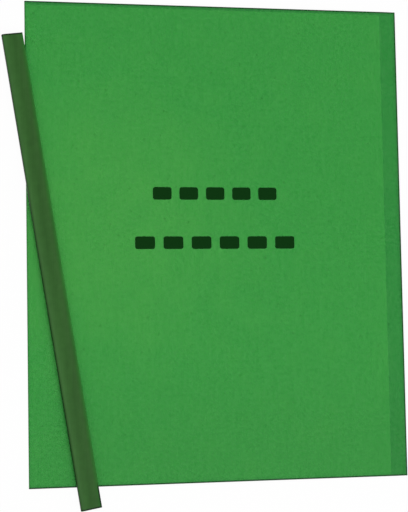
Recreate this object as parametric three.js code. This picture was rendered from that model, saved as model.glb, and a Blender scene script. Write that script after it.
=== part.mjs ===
// Report cover with a slide-on binding bar, in millimetres, +Z up.
// One sheet of tinted film is folded round a stack of letter pages. The binding bar is off
// the fold and lies loose across the front, as the cover is sold or handed out.
// The origin is the middle of the back leaf's outer face. +X runs from the fold to the
// fore edge, +Y runs to the head of the page, and +Z leaves through the front leaf.

import * as THREE from 'three';

// Pages
const pageWidth = 215.9;
const pageHeight = 279.4;
const sheetThickness = 0.1;
const sheetCount = 10;

// Film cover
const filmThickness = 0.3;
const foreMargin = 10;
const headMargin = 2.2;
const footMargin = 1;
const pageClearance = 0.1;
const foreEdgeGap = 0.9;

// Binding bar, a closed channel with two legs that lean in to a gripping mouth
const barLength = 278.2;
const barWidth = 12.3;
const barWall = 0.8;
const cavityHeight = 2.5;
const cavityCorner = 0.7;
const lipSwell = 0.2;
const gripGap = 0.4;

// Where the loose bar lies on the front leaf
const barCentreFromFold = 13.9;
const barCentreBelowMiddle = 16.4;
const barTurn = THREE.MathUtils.degToRad(8.87);
const barClearance = 0.3;

// Smoothness of the round parts
const arcSteps = 16;

// Sizes that follow from the ones above
const stackThickness = sheetThickness * sheetCount;
const innerFoldRadius = stackThickness / 2 + pageClearance;
const foldRadius = innerFoldRadius + filmThickness;
const frontHeight = 2 * foldRadius;
const coverWidth = foldRadius + pageWidth + foreMargin;
const coverHeight = footMargin + pageHeight + headMargin;
const foldEdge = -coverWidth / 2;
const foreEdge = coverWidth / 2;
const stackStart = foldEdge + foldRadius;
const stackEnd = stackStart + pageWidth;

// A profile drawn in X and Z, carried along Y and centred on it
function extrudeAlongY(profile, length) {
  const geometry = new THREE.ExtrudeGeometry(profile, {
    depth: length,
    bevelEnabled: false,
    curveSegments: arcSteps,
  });
  geometry.rotateX(Math.PI / 2);
  geometry.translate(0, length / 2, 0);
  return geometry;
}

// The sheet seen from its foot: back leaf, round fold, then the front leaf, which lies level
// over the pages and settles towards the back leaf where they end
function foldedSheetProfile() {
  const foreHeight = foreEdgeGap + 2 * filmThickness;
  const bend = foreMargin / 2;
  const profile = new THREE.Shape();

  profile.moveTo(foreEdge, 0);
  profile.lineTo(stackStart, 0);
  profile.absarc(stackStart, foldRadius, foldRadius, -Math.PI / 2, Math.PI / 2, true);
  profile.lineTo(stackEnd, frontHeight);
  profile.bezierCurveTo(
    stackEnd + bend, frontHeight,
    foreEdge - bend, foreHeight,
    foreEdge, foreHeight,
  );
  profile.lineTo(foreEdge, foreHeight - filmThickness);
  profile.bezierCurveTo(
    foreEdge - bend, foreHeight - filmThickness,
    stackEnd + bend, frontHeight - filmThickness,
    stackEnd, frontHeight - filmThickness,
  );
  profile.absarc(stackStart, foldRadius, innerFoldRadius, Math.PI / 2, -Math.PI / 2, false);
  profile.lineTo(foreEdge, filmThickness);
  profile.closePath();
  return profile;
}

function makeCover() {
  const material = new THREE.MeshStandardMaterial({
    color: 0x3d9544,
    roughness: 0.35,
    metalness: 0,
    transparent: true,
    opacity: 0.85,
  });
  const cover = new THREE.Mesh(extrudeAlongY(foldedSheetProfile(), coverHeight), material);
  cover.name = 'film_cover';
  return cover;
}

// The pages are pushed in until their edge meets the round of the fold
function makePageStack() {
  const material = new THREE.MeshStandardMaterial({ color: 0xf4f4ef, roughness: 0.9, metalness: 0 });
  const stack = new THREE.Mesh(
    new THREE.BoxGeometry(pageWidth, pageHeight, stackThickness),
    material,
  );
  stack.name = 'page_stack';
  stack.position.set(
    (stackStart + stackEnd) / 2,
    (footMargin - headMargin) / 2,
    filmThickness + pageClearance + stackThickness / 2,
  );
  return stack;
}

// Centres and radii of the bar's spine corner and lip, for the upper leg. The leg's outer
// face is the line that touches both circles, and its outward normal is at legNormal.
function legLayout() {
  const cornerRadius = cavityCorner + barWall;
  const lipRadius = (barWall + lipSwell) / 2;
  const corner = new THREE.Vector2(
    cornerRadius - barWidth / 2,
    cavityHeight / 2 - cavityCorner,
  );
  const lip = new THREE.Vector2(barWidth / 2 - lipRadius, gripGap / 2 + lipRadius);
  const across = lip.clone().sub(corner);
  const legNormal = across.angle() + Math.acos((cornerRadius - lipRadius) / across.length());
  const neckTurn = Math.acos((lipRadius - barWall) / lipRadius);
  const outward = new THREE.Vector2(Math.cos(legNormal), Math.sin(legNormal));
  return {
    corner,
    cornerRadius,
    lip,
    lipRadius,
    legNormal,
    neckNormal: legNormal + neckTurn,
    lean: Math.PI / 2 - legNormal,
    faceDistance: corner.dot(outward) + cornerRadius,
  };
}

// The channel seen from its foot, spine to the left and mouth to the right. Each leg keeps
// one wall thickness and swells into a round bead, and the two beads grip across the gap.
function channelProfile(layout) {
  const { corner, cornerRadius, lip, lipRadius, legNormal, neckNormal } = layout;
  const profile = new THREE.Shape();
  profile.absarc(corner.x, -corner.y, cornerRadius, -legNormal, -Math.PI, true);
  profile.absarc(corner.x, corner.y, cornerRadius, Math.PI, legNormal, true);
  profile.absarc(lip.x, lip.y, lipRadius, legNormal, neckNormal, true);
  profile.absarc(corner.x, corner.y, cavityCorner, legNormal, Math.PI, false);
  profile.absarc(corner.x, -corner.y, cavityCorner, -Math.PI, -legNormal, false);
  profile.absarc(lip.x, -lip.y, lipRadius, -neckNormal, -legNormal, true);
  profile.closePath();
  return profile;
}

// The inner group tips the channel until its lower leg lies flat, and the outer one turns
// the bar across the cover, just clear of the front leaf
function makeBindingBar() {
  const material = new THREE.MeshStandardMaterial({ color: 0x385f31, roughness: 0.5, metalness: 0 });
  const layout = legLayout();
  const bar = new THREE.Mesh(extrudeAlongY(channelProfile(layout), barLength), material);
  bar.name = 'binding_bar';

  const laidFlat = new THREE.Group();
  laidFlat.rotation.y = layout.lean;
  laidFlat.position.z = layout.faceDistance;
  laidFlat.add(bar);

  const placed = new THREE.Group();
  placed.rotation.z = barTurn;
  placed.position.set(
    foldEdge + barCentreFromFold,
    -barCentreBelowMiddle,
    frontHeight + barClearance,
  );
  placed.add(laidFlat);
  return placed;
}

const reportCover = new THREE.Group();
reportCover.add(makeCover());
reportCover.add(makePageStack());
reportCover.add(makeBindingBar());

export default reportCover;
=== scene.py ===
import bpy
import bmesh
import math
import random
from mathutils import Matrix, Vector


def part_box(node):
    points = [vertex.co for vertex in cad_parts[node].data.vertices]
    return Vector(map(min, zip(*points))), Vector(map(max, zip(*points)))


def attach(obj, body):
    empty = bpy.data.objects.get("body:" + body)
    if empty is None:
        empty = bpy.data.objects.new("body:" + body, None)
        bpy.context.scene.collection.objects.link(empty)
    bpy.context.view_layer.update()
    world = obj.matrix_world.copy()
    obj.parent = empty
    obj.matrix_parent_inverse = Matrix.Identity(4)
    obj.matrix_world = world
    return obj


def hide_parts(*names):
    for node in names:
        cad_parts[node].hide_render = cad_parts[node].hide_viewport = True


# Sizes are real millimetres, turned to metres where they are used.

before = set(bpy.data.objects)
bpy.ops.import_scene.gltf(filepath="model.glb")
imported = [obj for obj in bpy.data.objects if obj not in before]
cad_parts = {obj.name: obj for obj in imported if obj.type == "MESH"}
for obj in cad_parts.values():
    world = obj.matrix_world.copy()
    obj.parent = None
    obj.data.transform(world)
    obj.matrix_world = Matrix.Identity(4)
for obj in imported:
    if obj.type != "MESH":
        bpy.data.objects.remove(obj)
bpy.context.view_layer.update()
mm = 0.001
noiseLow, noiseHigh = 0.3, 0.7  # nearly all of a noise pattern lies between these


# sRGB hex to the linear colour that a shader works in
def hexColour(code):
    channels = [int(code[i:i + 2], 16) / 255 for i in (1, 3, 5)]
    linear = [c / 12.92 if c <= 0.04045 else ((c + 0.055) / 1.055) ** 2.4 for c in channels]
    return (*linear, 1.0)


# Adds a node and applies its settings. Then it fills the sockets, named or numbered, with
# numbers, colours or outputs, and a node given there stands for its first output.
def addNode(tree, kind, settings=None, sockets=None):
    node = tree.nodes.new(kind)
    for name, value in (settings or {}).items():
        setattr(node, name, value)
    for name, value in (sockets or {}).items():
        if isinstance(value, bpy.types.Node):
            value = value.outputs[0]
        if isinstance(value, bpy.types.NodeSocket):
            tree.links.new(value, node.inputs[name])
        else:
            node.inputs[name].default_value = value
    return node


def newMaterial(name):
    material = bpy.data.materials.new(name)
    material.use_nodes = True
    material.node_tree.nodes.clear()
    return material, material.node_tree


def setMaterial(piece, material):
    piece.data.materials.clear()
    piece.data.materials.append(material)


# Irregular pattern whose grains are as large as the given millimetres along each axis,
# turned about Z so that they run along the piece
def surfaceGrain(tree, sizes, detail=2.0, turn=0.0):
    place = addNode(tree, "ShaderNodeTexCoord")
    space = addNode(tree, "ShaderNodeMapping", None, {
        "Vector": place.outputs["Object"],
        "Rotation": (0.0, 0.0, turn),
        "Scale": [1 / (mm * size) for size in sizes],
    })
    return addNode(tree, "ShaderNodeTexNoise", None, {
        "Vector": space, "Scale": 1.0, "Detail": detail, "Roughness": 0.5,
    })


# Camera: the cover lies flat and is seen from above, a little from its lower left

camera = {
    "eye": (-178.12, -67.05, 826.28),
    "target": (-8.81, -8.35, 0.0),
    "roll": -1.05,  # degrees
    "lens": 100.4,
    "sensor": 36.0,  # across the photograph's long side
}


def addCamera():
    data = bpy.data.cameras.new("camera")
    data.lens = camera["lens"]
    data.sensor_width = camera["sensor"]
    data.clip_start = 0.01
    eye = Vector(camera["eye"]) * mm
    back = (eye - Vector(camera["target"]) * mm).normalized()
    right = Vector((0, 1, 0)).cross(back).normalized()
    facing = Matrix((right, back.cross(right), back)).transposed()
    roll = Matrix.Rotation(math.radians(camera["roll"]), 3, "Z")
    piece = bpy.data.objects.new("camera", data)
    piece.matrix_world = Matrix.Translation(eye) @ (facing @ roll).to_4x4()
    bpy.context.collection.objects.link(piece)
    bpy.context.scene.camera = piece


addCamera()
print("camera set")


# Studio: white table, even white surroundings and one large softbox, high up past the foot

studio = {
    "roomLevel": 0.65,  # as light, while the camera sees the room as plain white
    "keyPower": 97.0,  # watts
    "keySize": 2.85,  # metres, as are its place and the table's size
    "keyPlace": (0.9, -2.25, 3.6),
    "tableColour": "#ececec",
    "tableGlow": 0.96,  # how far the table is lifted to white for the camera
    "tableSize": 3.0,
    "tableDrop": 0.15,  # the gap under the back leaf, in millimetres
}


# 1 for what the camera sees by itself or mirrored in a gloss, 0 for what only gives light
def seenLevel(tree, path):
    return addNode(tree, "ShaderNodeMath", {"operation": "MAXIMUM"}, {
        0: path.outputs["Is Camera Ray"], 1: path.outputs["Is Glossy Ray"],
    })


def addStudio():
    world = bpy.data.worlds.new("room")
    world.use_nodes = True
    bpy.context.scene.world = world
    tree = world.node_tree
    seen = seenLevel(tree, addNode(tree, "ShaderNodeLightPath"))
    level = addNode(tree, "ShaderNodeMapRange", None, {
        "Value": seen, "To Min": studio["roomLevel"], "To Max": 1.0,
    })
    room = tree.nodes["Background"]
    room.inputs["Color"].default_value = (1.0, 1.0, 1.0, 1.0)
    tree.links.new(level.outputs[0], room.inputs["Strength"])

    light = bpy.data.lights.new("softbox", "AREA")
    light.shape = "SQUARE"
    light.size = studio["keySize"]
    light.energy = studio["keyPower"]
    key = bpy.data.objects.new("softbox", light)
    key.location = studio["keyPlace"]
    key.rotation_euler = (-Vector(studio["keyPlace"])).to_track_quat("-Z", "Y").to_euler()
    bpy.context.collection.objects.link(key)

    mesh = bpy.data.meshes.new("table")
    half = studio["tableSize"] / 2
    top = -studio["tableDrop"] * mm
    corners = [(-half, -half, top), (half, -half, top), (half, half, top), (-half, half, top)]
    mesh.from_pydata(corners, [], [(0, 1, 2, 3)])
    table = bpy.data.objects.new("table", mesh)
    bpy.context.collection.objects.link(table)

    material, tree = newMaterial("white laminate table")
    paint = addNode(tree, "ShaderNodeBsdfDiffuse", None, {
        "Color": hexColour(studio["tableColour"]),
    })
    glow = addNode(tree, "ShaderNodeEmission", None, {"Strength": 1.0})
    path = addNode(tree, "ShaderNodeLightPath")
    seen = seenLevel(tree, path)
    bare = addNode(tree, "ShaderNodeMath", {"operation": "LESS_THAN"}, {
        0: path.outputs["Transparent Depth"], 1: 0.5,  # not seen through the film
    })
    lift = addNode(tree, "ShaderNodeMath", {"operation": "MULTIPLY"}, {0: seen, 1: bare})
    share = addNode(tree, "ShaderNodeMath", {"operation": "MULTIPLY"}, {
        0: lift, 1: studio["tableGlow"],
    })
    laminate = addNode(tree, "ShaderNodeMixShader", None, {"Fac": share, 1: paint, 2: glow})
    addNode(tree, "ShaderNodeOutputMaterial", None, {"Surface": laminate})
    setMaterial(table, material)


addStudio()
print("studio lit")


# Film: plasticised vinyl, rolled between steel cylinders. It is dyed green and slightly
# clouded, so it glows its own colour and lets only a hint of the page through. Rolling
# leaves soft marks from head to foot, a faint mottle and a low, slightly peeled gloss.
# The colour also carries a painted pool of light over the left middle and painted shade towards
# the foot.

film = {
    "cloudDeep": "#3aa44e",  # light that the dye scatters back, where the film is densest
    "cloudThin": "#4db15d",
    "paintedLightDeep": "#4eaf54",  # and the same pair, paler, as a painted pool of light over the left middle of the cover
    "paintedLightThin": "#5db960",
    "paintedLightAt": (-70.0, 12.0),
    "paintedLightFrom": 20.0,
    "paintedLightTo": 120.0,
    "paintedLightShare": 0.8,
    "paintedLightUneven": 0.8,  # how far the drift pattern moves that share, up and down together
    "tint": "#c4edbb",  # light that goes on through one face
    "cloudShare": 0.42,  # the rest of the light goes on through
    "rim": "#0d3a14",  # the cut edges look into the thickness of the film
    "rimWidth": 1.1,
    "rimStrength": 0.85,
    "rimShade": 0.14,  # a fainter shade beside the rim
    "rimShadeWidth": 3.0,
    "foldRelief": 0.8,  # the fold has no cut edge, so its rim is narrower by this
    "paintedFootShade": 0.11,  # painted shade, darker towards the foot
    "paintedFootShadeReach": 90.0,
    "roughness": 0.36,
    "duller": 0.05,  # how far the mottle raises the roughness
    "glossier": 0.03,  # and lowers it
    "ior": 1.53,
    "specular": 0.17,
    "streakAcross": 0.8,  # roller marks run from head to foot
    "streakAlong": 11.0,
    "streakDepth": 5.0,
    "streakShare": 0.5,  # against the mottle, in the colour
    "mottleSize": 1.9,
    "marksLow": 0.55,  # the two together are densest and thinnest here
    "marksHigh": 0.95,
    "driftSize": 18.0,
    "speckSpacing": 7.0,  # dye specks
    "speckSize": 0.8,
    "speckShade": 0.3,
    "peelSize": 1.4,  # orange peel, drawn about twice as coarse as it is so that it shows
    "peelDepth": 0.004,
    "peelStrength": 0.35,
    "streakRelief": 0.6,  # against the peel, in the relief
    "rimCore": 0.3,  # share of the rim's width that is fully dark
}


# How dark the film is near the edges of the sheet: a narrow rim, then a faint shade
def filmRim(tree, place, low, high):
    axes = addNode(tree, "ShaderNodeSeparateXYZ", None, {"Vector": place.outputs["Object"]})
    nearest = None
    for axis, relief in ((0, film["foldRelief"] * mm), (1, 0.0)):
        middle = (low[axis] - relief + high[axis]) / 2
        reach = (high[axis] - low[axis] + relief) / 2
        offset = addNode(tree, "ShaderNodeMath", {"operation": "SUBTRACT"}, {
            0: axes.outputs[axis], 1: middle,
        })
        size = addNode(tree, "ShaderNodeMath", {"operation": "ABSOLUTE"}, {0: offset})
        inside = addNode(tree, "ShaderNodeMath", {"operation": "SUBTRACT"}, {0: reach, 1: size})
        if nearest is None:
            nearest = inside
        else:
            nearest = addNode(tree, "ShaderNodeMath", {"operation": "MINIMUM"}, {
                0: nearest, 1: inside,
            })
    line = addNode(tree, "ShaderNodeMapRange", {"interpolation_type": "SMOOTHSTEP"}, {
        "Value": nearest, "From Min": film["rimCore"] * film["rimWidth"] * mm,
        "From Max": film["rimWidth"] * mm, "To Min": film["rimStrength"], "To Max": 0.0,
    })
    shade = addNode(tree, "ShaderNodeMapRange", {"interpolation_type": "SMOOTHSTEP"}, {
        "Value": nearest, "From Min": 0.0, "From Max": film["rimShadeWidth"] * mm,
        "To Min": film["rimShade"], "To Max": 0.0,
    })
    return addNode(tree, "ShaderNodeMath", {"operation": "MAXIMUM"}, {0: line, 1: shade})


def dressFilm():
    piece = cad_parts["film_cover"]
    low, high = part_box("film_cover")
    material, tree = newMaterial("green calendered vinyl film")
    place = addNode(tree, "ShaderNodeTexCoord")

    streakSize = (film["streakAcross"], film["streakAlong"], film["streakDepth"])
    streaks = surfaceGrain(tree, streakSize, detail=3.0)
    mottle = surfaceGrain(tree, (film["mottleSize"],) * 3)
    drift = surfaceGrain(tree, (film["driftSize"],) * 3, detail=1.0)
    marks = addNode(tree, "ShaderNodeMath", {"operation": "MULTIPLY_ADD"}, {
        0: streaks, 1: film["streakShare"], 2: mottle,
    })
    density = addNode(tree, "ShaderNodeMapRange", None, {
        "Value": marks, "From Min": film["marksLow"], "From Max": film["marksHigh"],
    })
    dye = addNode(tree, "ShaderNodeMix", {"data_type": "RGBA"}, {
        0: density, 6: hexColour(film["cloudDeep"]), 7: hexColour(film["cloudThin"]),
    })

    # Painted light: the paler pair is mixed in around one point on the left middle, fading out
    # with distance
    fromPaintedLight = addNode(tree, "ShaderNodeVectorMath", {"operation": "DISTANCE"}, {
        0: place.outputs["Object"],
        1: (film["paintedLightAt"][0] * mm, film["paintedLightAt"][1] * mm, high[2]),
    })
    paintedLightByDistance = addNode(tree, "ShaderNodeMapRange", {"interpolation_type": "SMOOTHSTEP"}, {
        "Value": fromPaintedLight.outputs["Value"], "From Min": film["paintedLightFrom"] * mm,
        "From Max": film["paintedLightTo"] * mm, "To Min": film["paintedLightShare"], "To Max": 0.0,
    })
    uneven = addNode(tree, "ShaderNodeMath", {"operation": "MULTIPLY_ADD"}, {
        0: drift, 1: film["paintedLightUneven"], 2: -film["paintedLightUneven"] / 2,
    })
    paintedLightShare = addNode(tree, "ShaderNodeMath", {"operation": "ADD", "use_clamp": True}, {
        0: paintedLightByDistance, 1: uneven,
    })
    paintedLightDye = addNode(tree, "ShaderNodeMix", {"data_type": "RGBA"}, {
        0: density, 6: hexColour(film["paintedLightDeep"]), 7: hexColour(film["paintedLightThin"]),
    })
    dyeWithPaintedLight = addNode(tree, "ShaderNodeMix", {"data_type": "RGBA"}, {
        0: paintedLightShare, 6: dye.outputs[2], 7: paintedLightDye.outputs[2],
    })

    cells = addNode(tree, "ShaderNodeTexVoronoi", {"feature": "F1"}, {
        "Vector": place.outputs["Object"], "Scale": 1 / (film["speckSpacing"] * mm),
    })
    speckEdge = film["speckSize"] / film["speckSpacing"]
    speck = addNode(tree, "ShaderNodeMapRange", None, {
        "Value": cells.outputs["Distance"], "From Min": speckEdge / 2, "From Max": speckEdge,
        "To Min": film["speckShade"], "To Max": 0.0,
    })
    rim = filmRim(tree, place, low, high)
    height = addNode(tree, "ShaderNodeSeparateXYZ", None, {"Vector": place.outputs["Object"]})
    # Painted shade, darker towards the foot, joined below with the real dye specks
    foot = addNode(tree, "ShaderNodeMapRange", {"interpolation_type": "SMOOTHSTEP"}, {
        "Value": height.outputs["Y"], "From Min": low[1],
        "From Max": low[1] + film["paintedFootShadeReach"] * mm,
        "To Min": film["paintedFootShade"], "To Max": 0.0,
    })
    specksAndPaintedShade = addNode(tree, "ShaderNodeMath", {"operation": "MAXIMUM"}, {0: speck, 1: foot})
    dark = addNode(tree, "ShaderNodeMath", {"operation": "MAXIMUM"}, {0: rim, 1: specksAndPaintedShade})
    cloud = addNode(tree, "ShaderNodeMix", {"data_type": "RGBA"}, {
        0: dark, 6: dyeWithPaintedLight.outputs[2], 7: hexColour(film["rim"]),
    })
    tint = addNode(tree, "ShaderNodeMix", {"data_type": "RGBA"}, {
        0: rim, 6: hexColour(film["tint"]), 7: hexColour(film["rim"]),
    })

    peel = surfaceGrain(tree, (film["peelSize"],) * 3)
    relief = addNode(tree, "ShaderNodeMath", {"operation": "MULTIPLY_ADD"}, {
        0: streaks, 1: film["streakRelief"], 2: peel,
    })
    bump = addNode(tree, "ShaderNodeBump", None, {
        "Strength": film["peelStrength"], "Distance": film["peelDepth"] * mm, "Height": relief,
    })
    gloss = addNode(tree, "ShaderNodeMapRange", None, {
        "Value": mottle, "From Min": noiseLow, "From Max": noiseHigh,
        "To Min": film["roughness"] - film["glossier"],
        "To Max": film["roughness"] + film["duller"],
    })
    vinyl = addNode(tree, "ShaderNodeBsdfPrincipled", None, {
        "Base Color": cloud.outputs[2], "Roughness": gloss, "IOR": film["ior"],
        "Specular IOR Level": film["specular"], "Normal": bump,
    })
    clear = addNode(tree, "ShaderNodeBsdfTransparent", None, {"Color": tint.outputs[2]})
    sheet = addNode(tree, "ShaderNodeMixShader", None, {
        "Fac": film["cloudShare"], 1: clear, 2: vinyl,
    })
    addNode(tree, "ShaderNodeOutputMaterial", None, {"Surface": sheet})
    setMaterial(piece, material)


dressFilm()
print("film cover dressed")


# Pages: uncoated copier paper, matt and very slightly fibrous. Each sheet is its own box
# here, so that their edges show at the head, the foot and the fore edge.

pages = {
    "sheets": 10,
    "paper": "#f7f7f2",
    "paperShade": "#edede8",  # between the fibres
    "fibre": 0.5,
    "fibreAlong": 3.0,
    "sheetShare": 0.86,  # the part of each sheet's share of the stack that is paper
    "slip": 0.3,  # how far a loose sheet slides, where the round of the fold has room for 0.32
    "roughness": 0.85,
    "ior": 1.45,
    "tooth": 0.01,
    "toothStrength": 0.3,
    "seed": 7,
}


def addBox(shape, low, high):
    corners = [
        shape.verts.new((x, y, z))
        for z in (low[2], high[2]) for y in (low[1], high[1]) for x in (low[0], high[0])
    ]
    sides = ((0, 2, 3, 1), (4, 5, 7, 6), (0, 1, 5, 4), (1, 3, 7, 5), (3, 2, 6, 7), (2, 0, 4, 6))
    for side in sides:
        shape.faces.new([corners[i] for i in side])


def meshPiece(name, shape, material):
    mesh = bpy.data.meshes.new(name)
    shape.to_mesh(mesh)
    shape.free()
    piece = bpy.data.objects.new(name, mesh)
    bpy.context.collection.objects.link(piece)
    mesh.materials.append(material)
    return piece


def paperMaterial():
    material, tree = newMaterial("uncoated copier paper")
    fibreSize = (pages["fibre"], pages["fibreAlong"], pages["fibre"])
    fibres = surfaceGrain(tree, fibreSize, detail=4.0)
    furnish = addNode(tree, "ShaderNodeMix", {"data_type": "RGBA"}, {
        0: fibres, 6: hexColour(pages["paperShade"]), 7: hexColour(pages["paper"]),
    })
    tooth = addNode(tree, "ShaderNodeBump", None, {
        "Strength": pages["toothStrength"], "Distance": pages["tooth"] * mm, "Height": fibres,
    })
    paper = addNode(tree, "ShaderNodeBsdfPrincipled", None, {
        "Base Color": furnish.outputs[2], "Roughness": pages["roughness"], "IOR": pages["ior"],
        "Normal": tooth,
    })
    addNode(tree, "ShaderNodeOutputMaterial", None, {"Surface": paper})
    return material


def addPages():
    low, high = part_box("page_stack")
    step = (high[2] - low[2]) / pages["sheets"]
    dice = random.Random(pages["seed"])
    shape = bmesh.new()
    for index in range(pages["sheets"]):
        slideX = -dice.uniform(0.0, pages["slip"]) * mm  # pushed into the round of the fold
        slideY = dice.uniform(-pages["slip"], pages["slip"]) * mm
        bottom = low[2] + index * step
        top = bottom + step * pages["sheetShare"]
        if index == pages["sheets"] - 1:
            slideX, slideY = -pages["slip"] * mm, 0.0  # the title page is pushed home
            top = high[2]
        addBox(
            shape,
            (low[0] + slideX, low[1] + slideY, bottom),
            (high[0] + slideX, high[1] + slideY, top),
        )
    piece = meshPiece("letter_sheets", shape, paperMaterial())
    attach(piece, "root")
    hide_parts("page_stack")


addPages()
print("pages stacked")


# Title place: two centred rows of plain blocks, printed in toner that the green film turns
# to a very dark green

title = {
    "rows": (
        {"middle": (-1.7, 28.65), "width": 75.0, "blocks": 5},
        {"middle": (-2.0, -0.55), "width": 96.4, "blocks": 6},
    ),
    "height": 7.4,
    "gapShare": 0.3,
    "corner": 1.4,  # radius of the block corners
    "cornerSteps": 5,
    "ink": "#07300a",
    "speckle": 0.6,  # uneven toner
    "dullest": 0.85,
    "brightest": 1.2,
    "roughness": 0.45,
    "specular": 0.03,
    "lift": 0.02,
    "thickness": 0.02,
}


def inkMaterial():
    material, tree = newMaterial("toner under green film")
    speckle = surfaceGrain(tree, (title["speckle"],) * 3, detail=3.0)
    toner = addNode(tree, "ShaderNodeHueSaturation", None, {
        "Color": hexColour(title["ink"]),
        "Value": addNode(tree, "ShaderNodeMapRange", None, {
            "Value": speckle, "From Min": noiseLow, "From Max": noiseHigh,
            "To Min": title["dullest"], "To Max": title["brightest"],
        }),
    })
    ink = addNode(tree, "ShaderNodeBsdfPrincipled", None, {
        "Base Color": toner, "Roughness": title["roughness"], "IOR": film["ior"],
        "Specular IOR Level": title["specular"],
    })
    addNode(tree, "ShaderNodeOutputMaterial", None, {"Surface": ink})
    return material


# Outline of a block with rounded corners, in millimetres
def blockOutline(left, bottom, width, height):
    points = []
    radius = title["corner"]
    for turn, x, y in ((0, 1, 1), (1, 0, 1), (2, 0, 0), (3, 1, 0)):
        centreX = left + (width - radius if x else radius)
        centreY = bottom + (height - radius if y else radius)
        for step in range(title["cornerSteps"] + 1):
            angle = (turn + step / title["cornerSteps"]) * math.pi / 2
            points.append((centreX + radius * math.cos(angle), centreY + radius * math.sin(angle)))
    return points


def addBlock(shape, outline, base):
    rings = [
        [shape.verts.new((x * mm, y * mm, level)) for x, y in outline]
        for level in (base, base + title["thickness"] * mm)
    ]
    shape.faces.new(reversed(rings[0]))
    shape.faces.new(rings[1])
    for index in range(len(outline)):
        after = (index + 1) % len(outline)
        shape.faces.new((rings[0][index], rings[0][after], rings[1][after], rings[1][index]))


def addTitle():
    shape = bmesh.new()
    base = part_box("film_cover")[1][2] + title["lift"] * mm
    for row in title["rows"]:
        pitch = row["width"] / (row["blocks"] - title["gapShare"])
        width = pitch * (1 - title["gapShare"])
        start = row["middle"][0] - row["width"] / 2
        bottom = row["middle"][1] - title["height"] / 2
        for index in range(row["blocks"]):
            outline = blockOutline(start + index * pitch, bottom, width, title["height"])
            addBlock(shape, outline, base)
    piece = meshPiece("title_blocks", shape, inkMaterial())
    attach(piece, "root")


addTitle()
print("title place filled")


# Bar: extruded rigid vinyl. The die leaves fine lines along it and a satin face. Its colour
# carries painted light: paler over the rounded spine as a painted highlight, dullest along its
# middle as painted shade, and greener at the lips as a painted reflection of the film below.

bar = {
    "across": (  # colours from the spine to the lips, by millimetres from the middle, with painted shade at the spine's edge
        (-6.1, "#101f0e"),
        (-5.75, "#32592a"),
        (-4.9, "#386230"),
        (-3.5, "#345f2b"),
        (-1.7, "#305a27"),
        (0.2, "#2d5624"),
        (3.5, "#305827"),
        (4.5, "#2c5a24"),
        (5.3, "#286023"),
        (6.1, "#2c6a28"),
    ),
    # painted shade, near black, on the ends and on the lip edge beyond the film
    "paintedEdgeShade": "#081408",
    "endWidth": 1.2,
    "endShade": 0.95,
    "overhang": -126.0,  # from here to the foot end no film lies under the lips
    "overhangBlend": 1.5,
    "lipFrom": 5.0,
    "lipTo": 5.7,
    "lipShade": 0.95,
    "paintedFootShade": 0.08,  # painted shade, darker towards the foot
    "paintedFootShadeFrom": 0.3,  # share of the half length
    "turn": 8.87,  # degrees, as the bar lies
    "length": 278.2,
    "roughness": 0.42,
    "ior": 1.54,
    "specular": 0.08,
    "dieLineAcross": 0.55,
    "dieLineAlong": 90.0,
    "dieLineSwing": 0.05,  # each pattern lightens and darkens the face by its swing
    "bandAcross": 3.0,
    "bandAlong": 160.0,
    "bandSwing": 0.06,
    "mottleSize": 3.5,
    "mottleSwing": 0.055,
    "lineDepth": 0.012,
    "lineStrength": 0.4,
    "lineGloss": 0.05,  # how far the lines move the roughness
    "endCore": 0.3,  # share of the end's width that is fully dark
}


# Millimetres from the bar's middle, in the direction of the given angle
def barReach(tree, middle, degrees):
    angle = math.radians(degrees)
    place = addNode(tree, "ShaderNodeTexCoord")
    offset = addNode(tree, "ShaderNodeVectorMath", {"operation": "SUBTRACT"}, {
        0: place.outputs["Object"], 1: middle,
    })
    reach = addNode(tree, "ShaderNodeVectorMath", {"operation": "DOT_PRODUCT"}, {
        0: offset, 1: (math.cos(angle) / mm, math.sin(angle) / mm, 0.0),
    })
    return reach.outputs["Value"]


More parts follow.
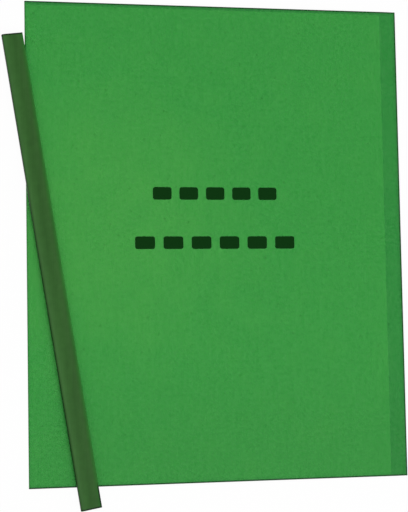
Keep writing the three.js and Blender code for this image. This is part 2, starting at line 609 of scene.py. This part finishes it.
def dressBar():
    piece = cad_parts["binding_bar"]
    turn = -math.radians(bar["turn"])
    low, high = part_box("binding_bar")
    middle = [(a + b) / 2 for a, b in zip(low, high)]
    halfLength = bar["length"] / 2
    material, tree = newMaterial("extruded satin vinyl")
    across = barReach(tree, middle, bar["turn"])
    along = barReach(tree, middle, bar["turn"] + 90.0)

    lineSize = (bar["dieLineAcross"], bar["dieLineAlong"], bar["dieLineAcross"])
    bandSize = (bar["bandAcross"], bar["bandAlong"], bar["bandAcross"])
    lines = surfaceGrain(tree, lineSize, turn=turn)
    bands = surfaceGrain(tree, bandSize, detail=1.0, turn=turn)
    mottle = surfaceGrain(tree, (bar["mottleSize"],) * 3, detail=3.0)
    value = None
    for pattern, name in ((lines, "dieLineSwing"), (bands, "bandSwing"), (mottle, "mottleSwing")):
        level = addNode(tree, "ShaderNodeMapRange", None, {
            "Value": pattern, "From Min": noiseLow, "From Max": noiseHigh,
            "To Min": 1 - bar[name], "To Max": 1 + bar[name],
        })
        if value is None:
            value = level
        else:
            value = addNode(tree, "ShaderNodeMath", {"operation": "MULTIPLY"}, {
                0: value, 1: level,
            })
    # Painted shade, darker towards the foot
    paintedFootShadeLevel = addNode(tree, "ShaderNodeMapRange", {"interpolation_type": "SMOOTHSTEP"}, {
        "Value": along, "From Min": -halfLength, "From Max": -bar["paintedFootShadeFrom"] * halfLength,
        "To Min": 1 - bar["paintedFootShade"], "To Max": 1.0,
    })
    value = addNode(tree, "ShaderNodeMath", {"operation": "MULTIPLY"}, {0: value, 1: paintedFootShadeLevel})
    spineEdge, lipEdge = bar["across"][0][0], bar["across"][-1][0]
    rampPlace = addNode(tree, "ShaderNodeMapRange", None, {
        "Value": across, "From Min": spineEdge, "From Max": lipEdge,
    })
    ramp = addNode(tree, "ShaderNodeValToRGB", None, {"Fac": rampPlace})
    stops = ramp.color_ramp.elements
    for reach, code in bar["across"][1:-1]:
        stops.new((reach - spineEdge) / (lipEdge - spineEdge))
    for stop, (reach, code) in zip(stops, bar["across"]):
        stop.color = hexColour(code)
    face = addNode(tree, "ShaderNodeHueSaturation", None, {"Color": ramp, "Value": value})

    # Painted shade: near black along both ends, and along the lip edge where the bar overhangs the
    # table
    fromMiddle = addNode(tree, "ShaderNodeMath", {"operation": "ABSOLUTE"}, {0: along})
    shade = addNode(tree, "ShaderNodeMapRange", None, {
        "Value": fromMiddle, "From Min": halfLength - bar["endWidth"],
        "From Max": halfLength - bar["endCore"] * bar["endWidth"],
        "To Min": 0.0, "To Max": bar["endShade"],
    })
    beyondFilm = addNode(tree, "ShaderNodeMapRange", None, {
        "Value": along, "From Min": bar["overhang"] - bar["overhangBlend"],
        "From Max": bar["overhang"] + bar["overhangBlend"],
        "To Min": bar["lipShade"], "To Max": 0.0,
    })
    lipSide = addNode(tree, "ShaderNodeMapRange", None, {
        "Value": across, "From Min": bar["lipFrom"], "From Max": bar["lipTo"],
    })
    lipShade = addNode(tree, "ShaderNodeMath", {"operation": "MULTIPLY"}, {
        0: beyondFilm, 1: lipSide,
    })
    dark = addNode(tree, "ShaderNodeMath", {"operation": "MAXIMUM"}, {0: shade, 1: lipShade})
    colour = addNode(tree, "ShaderNodeMix", {"data_type": "RGBA"}, {
        0: dark, 6: face, 7: hexColour(bar["paintedEdgeShade"]),
    })
    bump = addNode(tree, "ShaderNodeBump", None, {
        "Strength": bar["lineStrength"], "Distance": bar["lineDepth"] * mm, "Height": lines,
    })
    satin = addNode(tree, "ShaderNodeMapRange", None, {
        "Value": lines, "From Min": noiseLow, "From Max": noiseHigh,
        "To Min": bar["roughness"] - bar["lineGloss"],
        "To Max": bar["roughness"] + bar["lineGloss"],
    })
    vinyl = addNode(tree, "ShaderNodeBsdfPrincipled", None, {
        "Base Color": colour.outputs[2], "Roughness": satin, "IOR": bar["ior"],
        "Specular IOR Level": bar["specular"], "Normal": bump,
    })
    addNode(tree, "ShaderNodeOutputMaterial", None, {"Surface": vinyl})
    setMaterial(piece, material)


dressBar()
print("binding bar dressed")

bpy.context.scene.view_settings.view_transform = "Standard"
